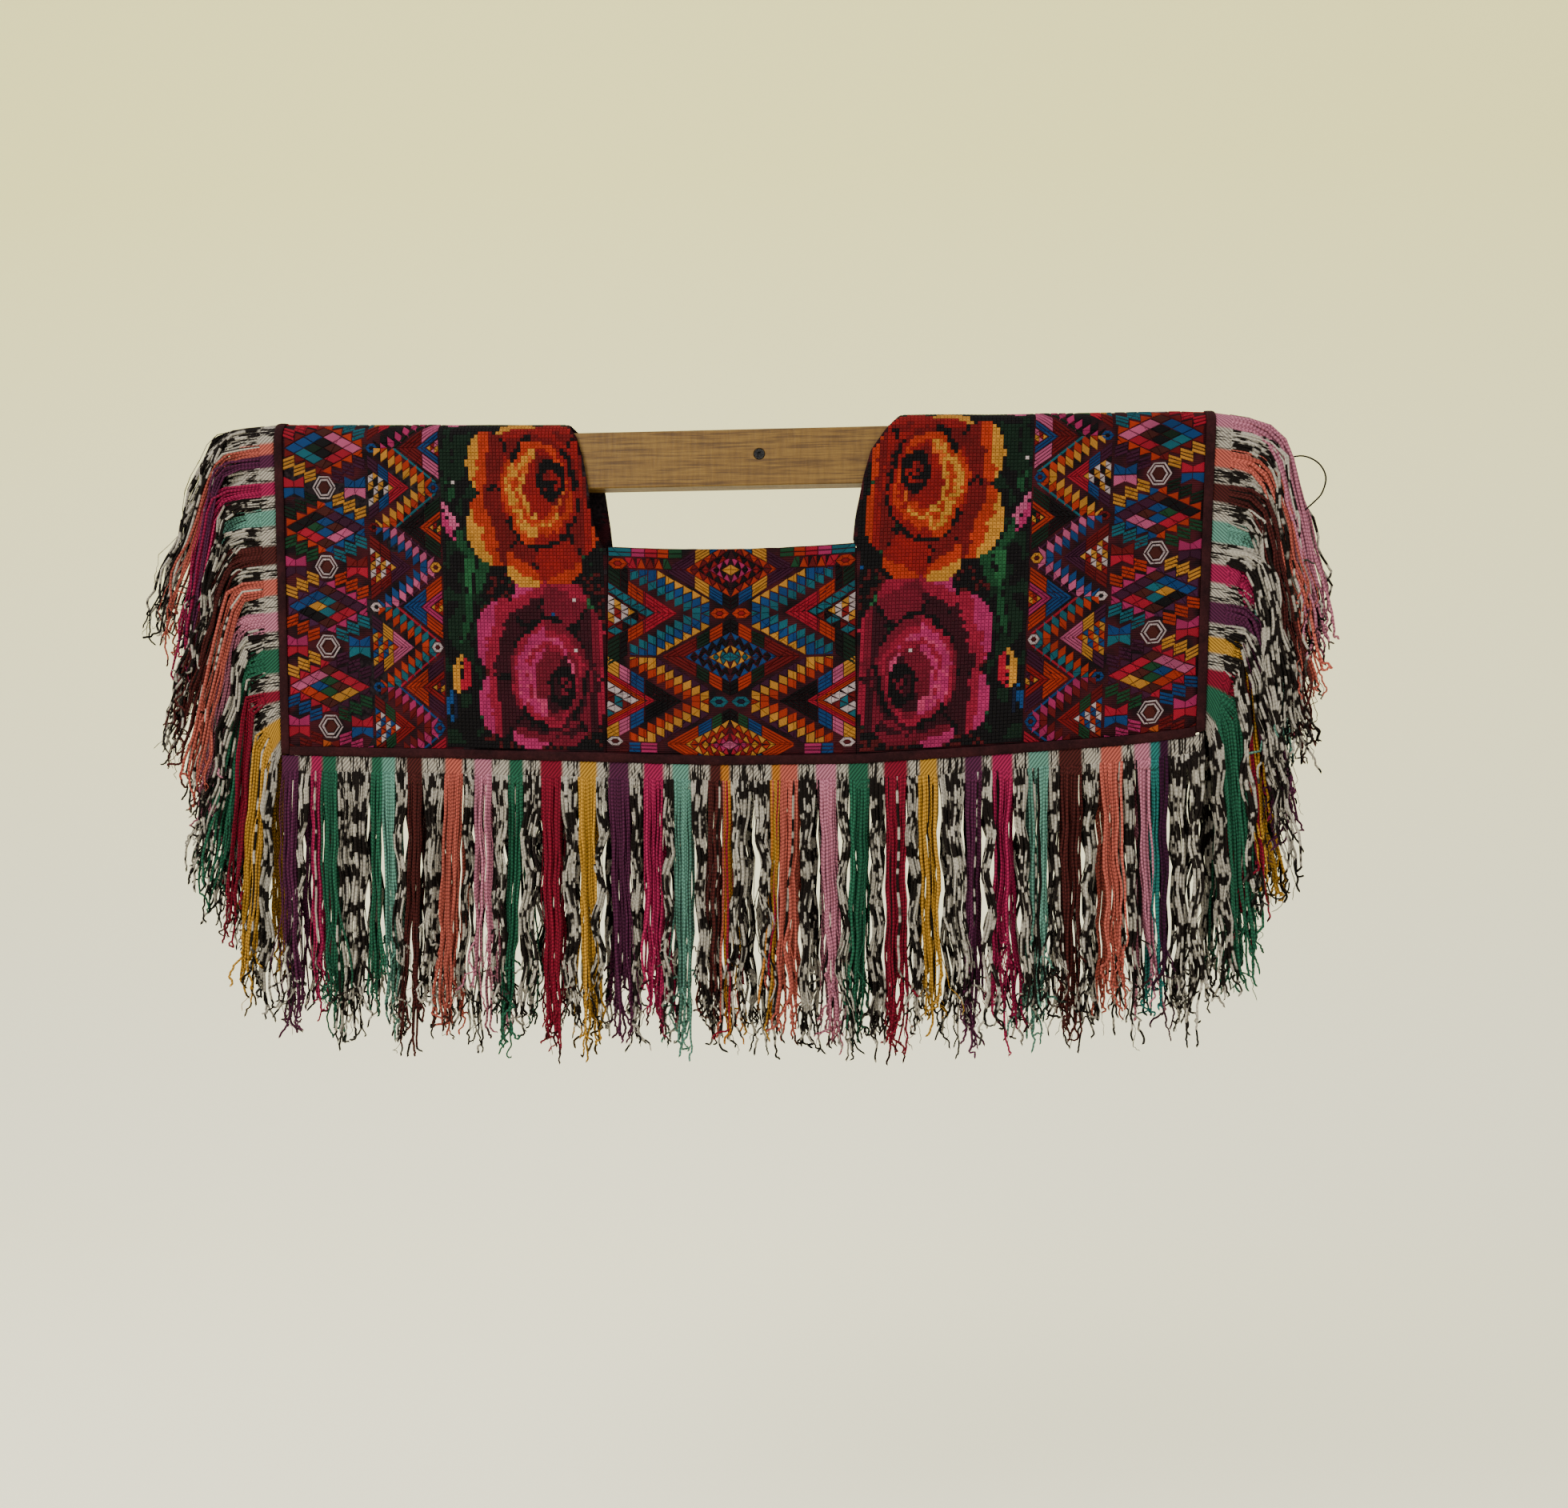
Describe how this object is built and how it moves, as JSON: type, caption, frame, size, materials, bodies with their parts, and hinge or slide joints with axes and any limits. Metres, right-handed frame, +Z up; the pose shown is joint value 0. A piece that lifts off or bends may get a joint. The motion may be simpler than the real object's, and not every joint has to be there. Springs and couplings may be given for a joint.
{
  "type": "fringed huipil blouse on a wooden wall bar",
  "caption": "Short woven blouse with a wide neck, open sides, dark bindings and a long ravelled fringe, hung over a wooden bar that stands off the wall on a block.",
  "frame": {"origin": "middle of the wall block's back face, in the wall's plane, at half the height of the bar and on the middle line of the blouse", "axes": "+Z up, +X to the right of someone who faces the wall, +Y into the wall, so the blouse's front faces -Y"},
  "size_m": [0.9348, 0.0453, 0.5073],
  "materials": {
    "brocade": "thick brocaded cotton and wool, matt",
    "binding": "matt cotton braid",
    "fringe": "ravelled cotton yarn, matt",
    "wood": "sawn, thin clear coat",
    "blackened_steel": "blackened, satin"
  },
  "bodies": {
    "root": {"left_panel": "brocade", "right_panel": "brocade", "front_centre_panel": "brocade", "back_centre_panel": "brocade", "left_binding": "binding", "right_binding": "binding", "front_hem_binding": "binding", "back_hem_binding": "binding", "front_hem_fringe": "fringe", "back_hem_fringe": "fringe", "left_fringe": "fringe", "right_fringe": "fringe", "wall_bar": "wood", "wall_block": "wood", "bar_screw": "blackened_steel"}
  },
  "joints": []
}
